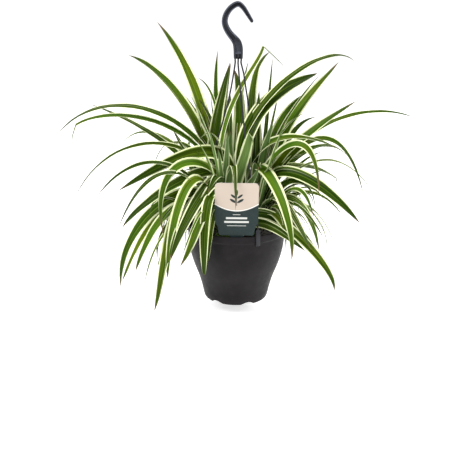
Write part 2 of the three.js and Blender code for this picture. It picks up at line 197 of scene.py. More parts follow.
# Leaves by rosette: compass angle, width, how far the face turns to the front, then the reach and
# height of two places on the way and of the tip
LEAVES = {
    "back": [
        (-128, 20, 35, (35, 220), (75, 325), (145, 410)), (-112, 19, 45, (42, 234), (105, 323), (171, 361)),
        (-140, 8, 10, (30, 180), (60, 245), (115, 295)), (-150, 13, 10, (20, 200), (42, 285), (36, 376)),
        (-110, 20, 62, (28, 195), (20, 280), (0, 362)), (-140, 17, 38, (20, 190), (19, 272), (-2, 362)),
        (150, 22, 30, (25, 195), (30, 282), (12, 350)), (130, 10, 10, (-14, 242), (30, 330), (66, 379)),
        (135, 17, 38, (42, 244), (50, 329), (88, 370)), (-97, 11, 40, (45, 235), (160, 290), (275, 235)),
        (-104, 10, 35, (45, 222), (148, 269), (250, 251)), (-116, 10, 35, (65, 190), (155, 245), (255, 275)),
        (-122, 8, 30, (65, 195), (155, 235), (230, 175)), (-130, 12, 30, (40, 155), (80, 200), (120, 245)),
        (10, 14, 0, (3, 180), (6, 225), (10, 262)), (-15, 14, 0, (8, 185), (20, 225), (46, 240)),
    ],
    "front": [
        (-94, 9, 35, (40, 222), (143, 239), (236, 146)), (-78, 22, 60, (0, 222), (68, 230), (163, 183)),
        (-84, 20, 60, (52, 173), (127, 127), (160, 20)), (-80, 11, 45, (83, 150), (134, 95), (159, 40)),
        (-70, 15, 50, (69, 159), (116, 120), (142, 62)), (-74, 19, 45, (3, 204), (88, 186), (159, 129)),
        (-60, 17, 45, (16, 202), (84, 221), (104, 117)), (-66, 10, 30, (50, 145), (95, 130), (110, 80)),
        (-52, 17, 45, (76, 168), (110, 99), (131, 11)), (-50, 16, 45, (58, 203), (98, 143), (110, 60)),
        (-46, 13, 35, (42, 181), (90, 143), (111, 95)), (-40, 20, 35, (14, 196), (75, 163), (122, 96)),
        (-32, 19, 30, (33, 185), (71, 147), (123, 91)), (-25, 16, 5, (55, 178), (73, 116), (70, 64)),
        (50, 18, -42, (15, 165), (29, 215), (46, 268)), (-22, 15, 5, (12, 180), (34, 205), (70, 190)),
        (12, 12, 0, (20, 180), (48, 226), (68, 164)),
    ],
    "right": [
        (118, 11, 38, (-22, 254), (78, 352), (174, 354)), (130, 24, 46, (-20, 254), (50, 318), (125, 338)),
        (115, 19, 55, (36, 233), (84, 306), (138, 360)), (125, 19, 48, (21, 195), (45, 270), (110, 315)),
        (135, 12, 35, (35, 175), (75, 240), (140, 265)), (92, 18, 45, (25, 195), (80, 260), (150, 310)),
        (104, 8, 40, (62, 236), (164, 284), (254, 273)), (72, 18, 20, (-9, 208), (45, 256), (130, 245)),
        (62, 17, 40, (9, 190), (66, 251), (106, 176)), (82, 12, 45, (43, 212), (108, 255), (166, 164)),
        (87, 16, 45, (31, 202), (98, 204), (120, 190)), (66, 20, 45, (32, 200), (104, 190), (168, 141)),
        (31, 19, 25, (2, 206), (69, 179), (103, 88)), (62, 14, 35, (45, 165), (85, 150), (110, 90)),
        (56, 11, 30, (40, 160), (75, 185), (105, 145)), (50, 16, 38, (30, 134), (110, 100), (152, 46)),
        (58, 15, 30, (14, 142), (64, 130), (127, 71)), (5, 15, 0, (8, 175), (20, 215), (44, 215)),
        (40, 15, 35, (36, 144), (60, 137), (80, 118)), (44, 16, 10, (36, 165), (78, 150), (118, 105)),
        (70, 16, 40, (25, 155), (55, 190), (100, 180)),
    ],
}

# The leaves that fill out each rosette: how many, and the compass angles that they spread over
FILLERS = {
    "back": {"hanging": (6, 158, 252), "arching": (5, 152, 244), "upright": (3, 165, 235)},
    "front": {"hanging": (2, -88, -56), "arching": (2, -84, -45), "upright": (1, -92, -60)},
    "right": {"hanging": (3, 85, 132), "arching": (2, 60, 134), "upright": (2, 50, 130)},
}

# The three ways in which filler leaves grow: width, the two places and the tip, and the stray
HABITS = {
    "hanging": (11, (50, 145), (98, 128), (128, 62), (28, 34)),
    "arching": (12, (45, 190), (108, 222), (165, 165), (34, 40)),
    "upright": (12, (14, 195), (34, 265), (70, 322), (36, 38)),
}
FILLER_SEED = 4711

# The young leaves in the heart of each rosette, in the same words
YOUNG = {
    "back": {"inner": (10, 150, 262), "low": (8, 152, 256)},
    "front": {"inner": (9, -92, 16), "low": (7, -92, -42)},
    "right": {"inner": (10, 30, 140), "low": (8, 34, 138)},
}
YOUNG_HABITS = {
    "inner": (10, (13, 160), (28, 212), (48, 250), (22, 60)),
    "low": (10, (32, 150), (66, 164), (98, 128), (30, 44)),
}
YOUNG_SEED = 2029
# The seed of the shapes that they draw, and their faces round and along
YOUNG_SHAPES = 505
YOUNG_GRID = (12, 20)

# The seeded draw
DRAW_FACTOR = 16807
DRAW_MODULUS = 2147483647

# Thin, dry and small leaves among the others and over the rim, in the words of LEAVES
THIN_LEAVES = {
    "right": [
        (132, 6, 45, (15, 175), (25, 240), (40, 305)), (98, 7, 10, (35, 150), (70, 185), (110, 200)),
        (74, 7, 5, (35, 140), (70, 140), (90, 105)), (95, 7, 10, (21, 189), (57, 221), (72, 226)),
        (120, 5, 50, (12, 200), (26, 268), (36, 307)), (80, 7, 10, (35, 156), (77, 180), (109, 155)),
        (70, 8, 10, (33, 160), (73, 188), (96, 143)), (35, 13, 10, (16, 136), (42, 133), (72, 124)),
        (60, 4, 5, (14, 145), (46, 162), (100, 114)), (138, 7, 40, (15, 200), (25, 285), (35, 370)),
        (108, 8, 30, (35, 155), (65, 200), (110, 225)), (84, 7, 10, (40, 145), (75, 170), (90, 135)),
        (92, 9, 35, (32, 148), (83, 168), (138, 126)), (150, 15, 30, (0, 190), (2, 260), (8, 325)),
        (170, 14, 20, (10, 185), (18, 240), (22, 290)), (60, 14, -40, (8, 190), (16, 240), (30, 285)),
        (66, 15, 35, (18, 132), (36, 132), (55, 123)), (48, 14, 40, (20, 142), (42, 142), (68, 128)),
        (45, 14, 35, (16, 113), (40, 125), (62, 124)), (62, 14, 35, (16, 114), (34, 125), (52, 124)),
        (33, 12, 30, (16, 113), (38, 125), (57, 124)), (50, 6, 5, (18, 143), (49, 152), (83, 132)),
    ],
    "front": [
        (-28, 8, 5, (28, 160), (50, 140), (62, 95)), (-80, 7, 10, (4, 214), (20, 262), (44, 250)),
        (-20, 7, 5, (38, 157), (62, 118), (73, 87)), (-30, 5, 5, (43, 165), (88, 146), (122, 107)),
        (-76, 7, 15, (41, 139), (91, 170), (118, 134)), (-62, 5, 10, (65, 167), (103, 105), (113, 80)),
        (-88, 9, 20, (40, 196), (64, 240), (79, 271)), (52, 13, -40, (18, 150), (42, 190), (60, 222)),
        (78, 16, 62, (45, 143), (90, 131), (136, 92)), (67, 15, 60, (46, 131), (85, 125), (130, 98)),
    ],
    "back": [
        (150, 6, 32, (24, 215), (36, 300), (57, 357)), (-140, 6, 40, (14, 205), (34, 290), (81, 328)),
        (-160, 5, 22, (42, 195), (72, 243), (98, 298)),
    ],
}

# The seed of their shapes, and their faces round and along
THIN_SHAPES = 77
THIN_GRID = (8, 24)

# The ends of folded leaves, by rosette and number in its list, from 0: two places beyond the fold
FOLDS = {
    ("back", 7): ((96, 356), (122, 334)),
    ("back", 10): ((260, 226), (254, 210)),
    ("front", 14): ((52, 256), (50, 238)),
}

# Leaves that are darker (towards 0) or paler (towards 1) than chance would make them, the darkest of
# them, the second of the right rosette, as painted shade for a blade that lies in shade, and how far
# the face of some turns at the root and at the tip
TONES_AND_PAINTED_SHADE = {
    ("right", 1): 0.0, ("right", 4): 0.1, ("right", 10): 0.4, ("right", 11): 0.15,
    ("right", 12): 1.0, ("right", 15): 0.45,
    ("back", 5): 1.0, ("back", 6): 1.0, ("back", 8): 0.6, ("back", 0): 0.75,
    ("back", 1): 0.4, ("front", 1): 0.2, ("front", 14): 0.6,
}
ROLLS = {
    ("right", 1): (48, 28), ("right", 2): (55, 25), ("right", 7): (70, 8), ("right", 10): (45, -15),
    ("back", 1): (32, 16), ("back", 8): (30, 115),
}


def LengthProperty(name, description, default):
    """A setting for a length, in metres."""
    return FloatProperty(
        name=name, description=description, default=default, unit="LENGTH", subtype="DISTANCE")


def ColourProperty(name, description, default):
    """A setting for a colour."""
    return FloatVectorProperty(
        name=name, description=description, default=default, subtype="COLOR", min=0.0, max=1.0)


def AngleProperty(name, description, degrees):
    """A setting for an angle."""
    return FloatProperty(
        name=name, description=description, default=radians(degrees), unit="ROTATION",
        subtype="ANGLE")


def ShareProperty(name, description, default):
    """A setting for a share from 0 to 1."""
    return FloatProperty(
        name=name, description=description, default=default, min=0.0, max=1.0, subtype="FACTOR")


class PotSettings(PropertyGroup):
    height: LengthProperty(
        "Height", "Height of the pot from its base to the top of its rim", POT_HIGH.z - POT_LOW.z)
    rim_radius: LengthProperty("Rim Radius", "Outer radius of the band round the rim", POT_HIGH.x)
    foot_radius: LengthProperty("Foot Radius", "Radius of the flat under the rounded foot", 0.044)
    wall: LengthProperty("Wall", "Thickness of the pot's wall", 0.0018)
    band_depth: LengthProperty("Band Depth", "Height of the plain band under the rim", 0.011)
    colour: ColourProperty("Plastic", "Colour of the pot's plastic", (0.0070, 0.0056, 0.0065))


class HangerSettings(PropertyGroup):
    hook_depth: LengthProperty(
        "Hook Depth", "Depth of the hook's flat bar from front to back", 0.008)
    rod_radius: LengthProperty("Rod Radius", "Radius of the three rods", 0.00125)
    rod_colour: ColourProperty("Rods", "Colour of the rods and clips", (0.026, 0.0265, 0.030))
    clip_width: LengthProperty("Clip Width", "Width of each clip along the rim", 0.0065)
    colour: ColourProperty("Plastic", "Colour of the hook's plastic", (0.026, 0.0285, 0.0365))


class SoilSettings(PropertyGroup):
    height: LengthProperty(
        "Height", "Height of the soil at the wall, above the pot's base", 0.099)
    mound: LengthProperty("Mound", "Rise of the soil towards the middle", 0.004)
    crumbs: IntProperty(
        name="Crumbs", description="Number of loose crumbs on the soil", default=420, min=0)
    crumb_radius: LengthProperty("Crumb Radius", "Radius of the largest crumbs", 0.0028)
    # The peat's colour is set darker than peat's own, as painted shade for the shade under the rim
    colour: ColourProperty("Peat", "Colour of the damp peat", (0.015, 0.010, 0.007))


class LabelSettings(PropertyGroup):
    width: LengthProperty("Width", "Width of the card", 0.064)
    rise: LengthProperty("Rise", "Height of the card above its foot", 0.082)
    thickness: LengthProperty("Thickness", "Thickness of the card", 0.001)
    lean: AngleProperty("Lean", "How far the card leans out over the rim", 5)
    top_colour: ColourProperty(
        "Upper Print", "Colour of the upper part of the card", (0.56, 0.47, 0.39))
    bottom_colour: ColourProperty(
        "Lower Print", "Colour of the lower part of the card", (0.013, 0.027, 0.026))


class LeafSettings(PropertyGroup):
    thickness: LengthProperty("Thickness", "Thickness of a blade along its midrib", 0.001)
    channel: ShareProperty(
        "Channel", "Rise of the blade's edges, as a share of its half width", 0.34)
    margin: ShareProperty("Margin", "Share of the half width that the cream margin takes", 0.26)
    green: ColourProperty("Green", "Main colour of the blades", (0.088, 0.155, 0.005))
    deep_green: ColourProperty(
        "Deep Green", "Colour of the darker bands and blades", (0.014, 0.036, 0.0))
    lime: ColourProperty(
        "Lime", "Colour of the paler stripes beside the margins", (0.21, 0.34, 0.02))
    underside: ColourProperty(
        "Underside", "Greyer tint of the blades' undersides", (0.17, 0.28, 0.10))
    cream: ColourProperty("Cream", "Colour of the margins", (0.93, 0.95, 0.66))


class StudioSettings(PropertyGroup):
    floor_drop: LengthProperty("Floor Drop", "How far the floor lies below the pot", 0.017)
    distance: LengthProperty("Camera Distance", "Distance from the camera to the plant", 1.6)
    elevation: AngleProperty("Camera Elevation", "Angle of the camera above the horizon", 18)
    lens: FloatProperty(
        name="Lens", description="Focal length of the camera in millimetres", default=79.27)
    key_power: FloatProperty(
        name="Key Light", description="Power of the main soft light in watts", default=58.0)
    sky: FloatProperty(
        name="Surround", description="Strength of the light from the pale surround", default=0.42)


class SpiderPlantSettings(PropertyGroup):
    pot: PointerProperty(type=PotSettings)
    hanger: PointerProperty(type=HangerSettings)
    soil: PointerProperty(type=SoilSettings)
    label: PointerProperty(type=LabelSettings)
    leaf: PointerProperty(type=LeafSettings)
    studio: PointerProperty(type=StudioSettings)


def polar(angle, out, height=0.0, around=(0.0, 0.0)):
    """The point at a compass angle, a distance out from an axis, and a height."""
    a = radians(angle)
    return Vector((around[0] + out * sin(a), around[1] - out * cos(a), height))


def smooth_line(points, steps):
    """A Catmull-Rom curve through the points, with a number of steps in each stretch."""
    points = [Vector(p) for p in points]
    ends = [2 * points[0] - points[1], *points, 2 * points[-1] - points[-2]]
    line = []
    for i in range(1, len(ends) - 2):
        p0, p1, p2, p3 = ends[i - 1:i + 3]
        for step in range(steps):
            t = step / steps
            line.append(0.5 * (
                2 * p1 + (p2 - p0) * t + (2 * p0 - 5 * p1 + 4 * p2 - p3) * t ** 2
                + (3 * p1 - p0 - 3 * p2 + p3) * t ** 3
            ))
    line.append(points[-1])
    return line


def smooth_outline(points, steps):
    """The same curve through flat points."""
    return [(p.x, p.y) for p in smooth_line([(x, y, 0) for x, y in points], steps)]


def quarter_round(x, y, radius, steps):
    """A quarter circle round a centre, from its side up to its top."""
    turns = [radians(90 * i / steps) for i in range(steps + 1)]
    return [(x + radius * cos(a), y + radius * sin(a)) for a in turns]


def ways_on(line):
    """The direction of travel at each point of a line."""
    last = len(line) - 1
    return [(line[min(i + 1, last)] - line[max(i - 1, 0)]).normalized() for i in range(last + 1)]


def lathe(outline, steps):
    """A bmesh of an outline of radius and height, in millimetres, spun round the pot's axis."""
    bm = bmesh.new()
    verts = [bm.verts.new((r * MM, 0, BASE + z * MM)) for r, z in outline]
    edges = [bm.edges.new(pair) for pair in zip(verts, verts[1:])]
    bmesh.ops.spin(
        bm, geom=verts + edges, cent=(0, 0, 0), axis=(0, 0, 1), dvec=(0, 0, 0),
        angle=2 * pi, steps=steps, use_merge=True, use_duplicate=False,
    )
    bmesh.ops.remove_doubles(bm, verts=bm.verts, dist=MERGE)
    return bm


def roll_grid(bm, around, along, place, uv_layer=None, uv_place=None):
    """A grid rolled into a tube with closed ends. place gives the point at a share round and along."""
    verts = bmesh.ops.create_grid(bm, x_segments=around, y_segments=along, size=0.5)["verts"]
    shares = {v: (v.co.x + 0.5, v.co.y + 0.5) for v in verts}
    if uv_layer:
        for face in {f for v in verts for f in v.link_faces}:
            for loop in face.loops:
                loop[uv_layer].uv = uv_place(*shares[loop.vert])
    for vert, (s, t) in shares.items():
        vert.co = place(s, t)
    bmesh.ops.remove_doubles(bm, verts=verts, dist=MERGE)
    kept = [v for v in verts if v.is_valid]
    open_edges = {e for v in kept for e in v.link_edges if e.is_boundary}
    if open_edges:
        bmesh.ops.holes_fill(bm, edges=list(open_edges), sides=0)
    return kept


def extrude_outline(bm, points, way):
    """A flat outline made into a face and drawn out along a way. Returns its vertices."""
    outline = [bm.verts.new(p) for p in points]
    face = bm.faces.new(outline)
    drawn = bmesh.ops.extrude_face_region(bm, geom=[face])["geom"]
    moved = [g for g in drawn if isinstance(g, bmesh.types.BMVert)]
    bmesh.ops.translate(bm, verts=moved, vec=way)
    return outline + moved


def rounded(bm, verts, width, segments, angle=radians(35)):
    """Rounds the edges between the vertices that turn by more than an angle."""
    within = set(verts)
    edges = [
        e for e in bm.edges
        if e.verts[0] in within and e.verts[1] in within and len(e.link_faces) == 2
        and e.calc_face_angle(0.0) > angle
    ]
    bmesh.ops.bevel(
        bm, geom=edges, offset=width, segments=segments, profile=0.5, affect="EDGES",
        material=-1, clamp_overlap=True,
    )


def new_object(bm, name):
    """An object from a finished bmesh."""
    mesh = bpy.data.meshes.new(name)
    bm.to_mesh(mesh)
    bm.free()
    made = bpy.data.objects.new(name, mesh)
    bpy.context.scene.collection.objects.link(made)
    return made


def smooth_but(mesh, sharp):
    """Smooth shading but for the edges that turn by more than an angle."""
    mesh.shade_smooth()
    mesh.set_sharp_from_angle(angle=sharp)


def make_piece(bm, name, materials, replaced=(), sharp=SHARP):
    """A piece from a finished bmesh, riding on the plant's one body."""
    bmesh.ops.recalc_face_normals(bm, faces=bm.faces)
    piece = new_object(bm, name)
    for material in materials:
        piece.data.materials.append(material)
    smooth_but(piece.data, sharp)
    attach(piece, BODY)
    if replaced:
        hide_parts(*replaced)
    return piece


def cut_away(piece, bm):
    """Cuts the solids of a bmesh out of a piece."""
    bmesh.ops.recalc_face_normals(bm, faces=bm.faces)
    cutter = new_object(bm, "cutter")
    modifier = piece.modifiers.new("cut", "BOOLEAN")
    modifier.operation = "DIFFERENCE"
    modifier.solver = "EXACT"
    modifier.use_self = True
    modifier.object = cutter
    graph = bpy.context.evaluated_depsgraph_get()
    graph.update()
    cut = bpy.data.meshes.new_from_object(piece.evaluated_get(graph))
    piece.modifiers.clear()
    cut.name = piece.data.name + "_cut"
    piece.data = cut
    bpy.data.objects.remove(cutter)


class Nodes:
    """The nodes of a material or of the surround, up to its one shader."""

    def __init__(self, owner):
        owner.use_nodes = True
        self.owner = owner
        self.tree = owner.node_tree
        self.shader = next(n for n in self.tree.nodes if n.type in {"BSDF_PRINCIPLED", "BACKGROUND"})

    def feed(self, node, values):
        """Links sockets into a node's inputs, by name or place, or sets plain values on them."""
        for key, value in values.items():
            socket = node.inputs[key]
            if isinstance(value, NodeSocket):
                self.tree.links.new(value, socket)
            else:
                socket.default_value = (*value, 1.0) if socket.type == "RGBA" else value

    def shade(self, values):
        """Feeds the shader. Returns the material or surround."""
        self.feed(self.shader, values)
        return self.owner

    def make(self, kind, values=(), **settings):
        """A new node with its settings and what it is fed."""
        node = self.tree.nodes.new(f"ShaderNode{kind}")
        for setting, value in settings.items():
            setattr(node, setting, value)
        self.feed(node, dict(values))
        return node

    def math(self, operation, *values):
        return self.make("Math", enumerate(values), operation=operation).outputs[0]

    def plus(self, a, b):
        return self.math("ADD", a, b)

    def minus(self, a, b):
        return self.math("SUBTRACT", a, b)

    def times(self, a, b):
        return self.math("MULTIPLY", a, b)

    def times_plus(self, a, b, c):
        return self.math("MULTIPLY_ADD", a, b, c)

    def absolute(self, a):
        return self.math("ABSOLUTE", a)

    def mix(self, share, first, second):
        """A blend of two colours, each a socket or a plain colour."""
        return self.make("Mix", {0: share, 6: first, 7: second}, data_type="RGBA").outputs[2]

    def fade(self, value, start, end, low=0.0, high=1.0):
        """A soft step of a value from start to end."""
        values = enumerate((value, start, end, low, high))
        return self.make("MapRange", values, interpolation_type="SMOOTHSTEP").outputs[0]

    def grain(self, place, scale, detail, roughness=0.55):
        """Plain noise at a scale."""
        values = {"Vector": place, "Scale": scale, "Detail": detail, "Roughness": roughness}
        return self.make("TexNoise", values).outputs["Fac"]

    def place(self):
        """The object's own coordinates."""
        return self.make("TexCoord").outputs["Object"]

    def uv(self, name):
        """The two shares of a UV map."""
        split = self.make("SeparateXYZ", {0: self.make("UVMap", uv_map=name).outputs[0]})
        return split.outputs[0], split.outputs[1]

    def bump(self, height, strength, distance):
        """A raised surface, for the shader's normal."""
        values = {"Height": height, "Strength": strength, "Distance": distance}
        return self.make("Bump", values).outputs[0]


def new_material(name):
    """The nodes of a new material."""
    return Nodes(bpy.data.materials.new(name))


def tinted(colour, gains):
    """A plain colour with a gain on each channel."""
    return tuple(c * k for c, k in zip(colour, gains))


def moulded_plastic(name, colour, roughness, grain_depth, painted_light_map=None):
    """Dark moulded plastic with a fine grain, faint cloudiness and soft handling marks.

    Where a map of painted light is named, its 0 is painted shade in a recess, 0.5 is plain and 1
    is a painted highlight on an edge.
    """
    nodes = new_material(name)
    place = nodes.place()
    cloud = nodes.grain(place, 26.0, 3.0)
    marks = nodes.grain(place, 120.0, 6.0, 0.7)
    lighter = tuple(min(1.0, c * 1.55 + 0.004) for c in colour)
    shade = nodes.mix(nodes.fade(cloud, 0.35, 0.75), colour, lighter)
    if painted_light_map:
        painted_light, _ = nodes.uv(painted_light_map)
        # Painted shade in recesses and painted highlights on edges, read from the map
        shade = nodes.mix(nodes.fade(painted_light, 0.0, 0.5, 1.0, 0.0), shade, tinted(colour, PAINTED_SHADE_GAIN))
        shade = nodes.mix(nodes.fade(painted_light, 0.5, 1.0), shade, tinted(colour, PAINTED_HIGHLIGHT_GAIN))
    return nodes.shade({
        "Base Color": shade,
        "Roughness": nodes.fade(marks, 0.3, 0.8, roughness - 0.06, roughness + 0.1),
        "Specular IOR Level": 0.14,
        "Normal": nodes.bump(nodes.grain(place, 900.0, 2.0), 0.35, grain_depth),
    })


def pot_outline(pot):
    """The closed profile of the pot from the middle of its base round over the rim to its floor."""
    height, rim = pot.height / MM, pot.rim_radius / MM
    wall, band = pot.wall / MM, pot.band_depth / MM
    foot = pot.foot_radius / MM
    turns = [radians(15 * i) for i in range(6)]
    bend = [(foot + FOOT_BEND["out"] * sin(a), FOOT_BEND["rise"] * (1 - cos(a))) for a in turns]
    side = smooth_outline(POT_SIDE, POT_STEPS)
    shoulder = [(rim + x, height - band + z) for x, z in BAND_EDGE]
    roll = quarter_round(rim - RIM_ROLL, height - RIM_ROLL, RIM_ROLL, 6)
    lip = rim - wall - LIP
    within = [(lip + x, height + z) for x, z in LIP_EDGE]
    inside = [(r - wall, z) for r, z in reversed(side[::2])]
    return [
        (0, 0), (foot - FOOT_FLAT, 0), *bend, *side, *shoulder, *roll, *within,
        (lip, height - band), *inside, (FLOOR["radius"], FLOOR["height"]), (0, FLOOR["height"]),
    ]


def drain_cutter(pot):
    """The notches and drain holes, as solids to cut out of the foot."""
    bm = bmesh.new()
    half = NOTCH["width"] / 2
    near = (NOTCH["reach"] - pot.foot_radius / MM) * MM
    for i in range(NOTCH["count"]):
        angle = NOTCH["first"] + 360 / NOTCH["count"] * i
        turn = Matrix.Rotation(radians(angle), 4, "Z")
        shares = [k / 8 for k in range(-8, 9)]
        arch = [(x, NOTCH["height"] * (1 - x * x) - NOTCH["dip"] * x * x) for x in shares]
        below = [(1, -NOTCH["under"]), (-1, -NOTCH["under"])]
        outline = [turn @ Vector((half * x * MM, near, BASE + z * MM)) for x, z in arch + below]
        extrude_outline(bm, outline, turn @ Vector((0, -(NOTCH["reach"] + NOTCH["past"]) * MM, 0)))
        at = polar(angle, DRAIN["ring"] * MM, BASE + FLOOR["height"] / 2 * MM)
        bmesh.ops.create_cone(
            bm, cap_ends=True, segments=24, radius1=DRAIN["radius"] * MM,
            radius2=DRAIN["radius"] * MM, depth=2 * FLOOR["height"] * MM,
            matrix=Matrix.Translation(at),
        )
    return bm


def build_pot(pot):
    plastic = moulded_plastic("charcoal_plastic", pot.colour, POT_ROUGHNESS, POT_GRAIN)
    bm = lathe(pot_outline(pot), POT_SEGMENTS)
    piece = make_piece(bm, "pot_shell", [plastic], ["pot"])
    cut_away(piece, drain_cutter(pot))
    smooth_but(piece.data, SHARP)


def bar_section():
    """The bar's section: points with their shares across and deep, and whether they are in the groove."""
    corner = [(x, y, False) for x, y in BAR_CORNER]
    right = corner + [(x, y, True) for x, y in BAR_GROOVE]
    front = right + [(0, 1, True)] + [(-x, y, cut) for x, y, cut in reversed(right)]
    return front + [(x, -y, cut) for x, y, cut in reversed(front[1:-1])]


def bar_rings(hanger):
    """The rings of the bar from the foot of its hub to its tip: middle, way on, width, depth and groove."""
    line = smooth_line(HOOK_LINE, HOOK_STEPS)
    middle = [Vector((p.x * MM, 0, p.y * MM)) for p in line]
    rings = []
    for i, (p, centre, way) in enumerate(zip(line, middle, ways_on(middle))):
        low = max(0.0, min(1.0, (HUB["neck"] - p.y) / (HUB["neck"] - HUB["waist"])))
        swell = low * low * (3 - 2 * low)
        depth = hanger.hook_depth + (HUB["depth"] * MM - hanger.hook_depth) * swell
        plain = abs(p.y - HUB["rib_at"]) < HUB["rib"] / 2 or p.y < HUB["bottom"] + HUB["lip"]
        runout = min(1.0, (len(line) - i) / GROOVE_RUNOUT)
        rings.append((centre, way, p.z * MM, depth, 0.0 if plain else GROOVE_DEPTH * MM * runout))
    foot, way, width, depth, _ = rings[0]
    share = HUB["foot_share"]
    rings[:1] = [
        (foot, way, width * share, depth * share, 0.0),
        (foot + way * HUB["foot_bevel"] * MM, way, width, depth, 0.0),
    ]
    tip, way, width, depth, _ = rings[-1]
    for far, share in TIP_ROUNDS:
        deep = depth * (TIP_DEPTH + (1 - TIP_DEPTH) * share)
        rings.append((tip + way * width / 2 * far, way, width * share, deep, 0.0))
    return rings


def build_hook(hanger):
    bm = bmesh.new()
    rings = bar_rings(hanger)
    section = bar_section()
    last = len(rings) - 1

    def place(s, t):
        centre, way, width, depth, groove = rings[round(t * last)]
        x, y, cut = section[round(s * len(section)) % len(section)]
        deep = depth / 2 - (groove if cut else 0.0)
        across = Vector((-way.z, 0, way.x))
        return centre + across * x * width / 2 + Vector((0, y * deep, 0))

    def painted_light(s, t):
        """Painted shade in the groove and on the hub, painted highlights on the rib and the bar's edges."""
        centre, way = rings[round(t * last)][:2]
        x, _, cut = section[round(s * len(section)) % len(section)]
        height = centre.z / MM
        on_bar = height > HUB["neck"]
        if not cut and on_bar:
            lightness = HOOK_PAINTED_LIGHT["edge"] + (1 - HOOK_PAINTED_LIGHT["edge"]) * max(0.0, -x * way.x)
        elif not cut:
            lightness = HOOK_PAINTED_LIGHT["hub_edge"]
        elif abs(height - HUB["rib_at"]) < HUB["rib"]:
            lightness = 1.0
        elif height < HUB["rib_at"]:
            lightness = HOOK_PAINTED_LIGHT["foot"]
        elif on_bar:
            lightness = HOOK_PAINTED_LIGHT["groove"] * (1 - abs(way.x))
        else:
            low = min(1.0, (HUB["neck"] - height) / HOOK_PAINTED_LIGHT_RUNOUT)
            lightness = HOOK_PAINTED_LIGHT["neck"] + (HOOK_PAINTED_LIGHT["hub"] - HOOK_PAINTED_LIGHT["neck"]) * low
        return lightness, t

    # The hook's painted shade and painted highlights ride on it as a UV map
    roll_grid(bm, len(section), last, place, bm.loops.layers.uv.new("painted_light"), painted_light)
    plastic = moulded_plastic("hook_plastic", hanger.colour, HANGER_ROUGHNESS, HANGER_GRAIN, "painted_light")
    make_piece(bm, "hook_and_hub", [plastic], ["hook"])


def rod_line(angle, bow, rim, height):
    """The middle of a rod from its socket in the hub to its foot in the clip."""
    hub_bottom = HUB["bottom"] - BASE / MM
    drop = hub_bottom - height - CLIP["above"]
    start = polar(angle + SOCKET_TURN, SOCKET_RING, hub_bottom)
    end = polar(angle, rim + ROD_OUT, hub_bottom)
    route = [start + Vector((0, 0, above)) for above in ROD_STARTS]
    for fall in ROD_FALLS:
        route.append(start.lerp(end, fall ** bow) - Vector((0, 0, drop * fall)))
    foot = height + CLIP["above"] - ROD_FOOT["sunk"]
    route.append(polar(angle, rim + ROD_FOOT["out"], foot))
    return [p * MM + Vector((0, 0, BASE)) for p in smooth_line(route, ROD_STEPS)]


def clip_section(rim, height, wall):
    """The clip's section over the rim, as radius and height."""
    rim_top = height + GAP
    bridge = rim_top + CLIP["thickness"]
    top = height + CLIP["above"]
    outer = rim + GAP
    inner = rim - wall - LIP - GAP
    far = outer + CLIP["thickness"]
    near = inner - CLIP["thickness"]
    lean = CLIP["lean"]
    return [
        (far, rim_top - CLIP["outside"]), (far, bridge + CLIP["fillet"]), (far - lean, top),
        (outer - lean, top), (outer - 2 * lean, bridge + CLIP["fillet"]),
        (outer - 2 * lean - 1, bridge), (near, bridge),
        (near, rim_top - CLIP["inside"]), (inner, rim_top - CLIP["inside"]),
        (inner, rim_top), (outer, rim_top), (outer, rim_top - CLIP["outside"]),
    ]


def build_arm(hanger, pot, name, plastic):
    rim, height = pot.rim_radius / MM, pot.height / MM
    angle, bow = ARMS[name]
    line = rod_line(angle, bow, rim, height)
    on = ways_on(line)
    side = polar(angle + 90, 1.0)
    last = len(line) - 1

    def place(s, t):
        i = round(t * last)
        third = side.cross(on[i])
        turn = 2 * pi * s
        return line[i] + (side * cos(turn) + third * sin(turn)) * hanger.rod_radius

    bm = bmesh.new()
    roll_grid(bm, ROD_SIDES, last, place)
    along = side * hanger.clip_width
    lift = Vector((0, 0, BASE))
    section = clip_section(rim, height, pot.wall / MM)
    outline = [polar(angle, r * MM, z * MM) + lift - along / 2 for r, z in section]
    rounded(bm, extrude_outline(bm, outline, along), CLIP["round"] * MM, 2)
    make_piece(bm, f"rod_and_clip_{name}", [plastic], [f"hanger_arm_{name}"])


def peat_material(soil):
    """Dark peat, its colour darkened as painted shade, with brown patches and a few pale fibres."""
    nodes = new_material("peat_with_painted_shade")
    place = nodes.place()
    coarse = nodes.grain(place, 140.0, 6.0, 0.7)
    fine = nodes.grain(place, 620.0, 4.0, 0.7)
    brown = tuple(min(1.0, c * 3.2 + 0.01) for c in soil.colour)
    body = nodes.mix(nodes.fade(coarse, 0.35, 0.75), soil.colour, brown)
    return nodes.shade({
        "Base Color": nodes.mix(nodes.fade(fine, 0.68, 0.8), body, PALE_FIBRE),
        "Roughness": 0.93,
        "Normal": nodes.bump(nodes.plus(coarse, fine), 0.8, 1.2 * MM),
    })


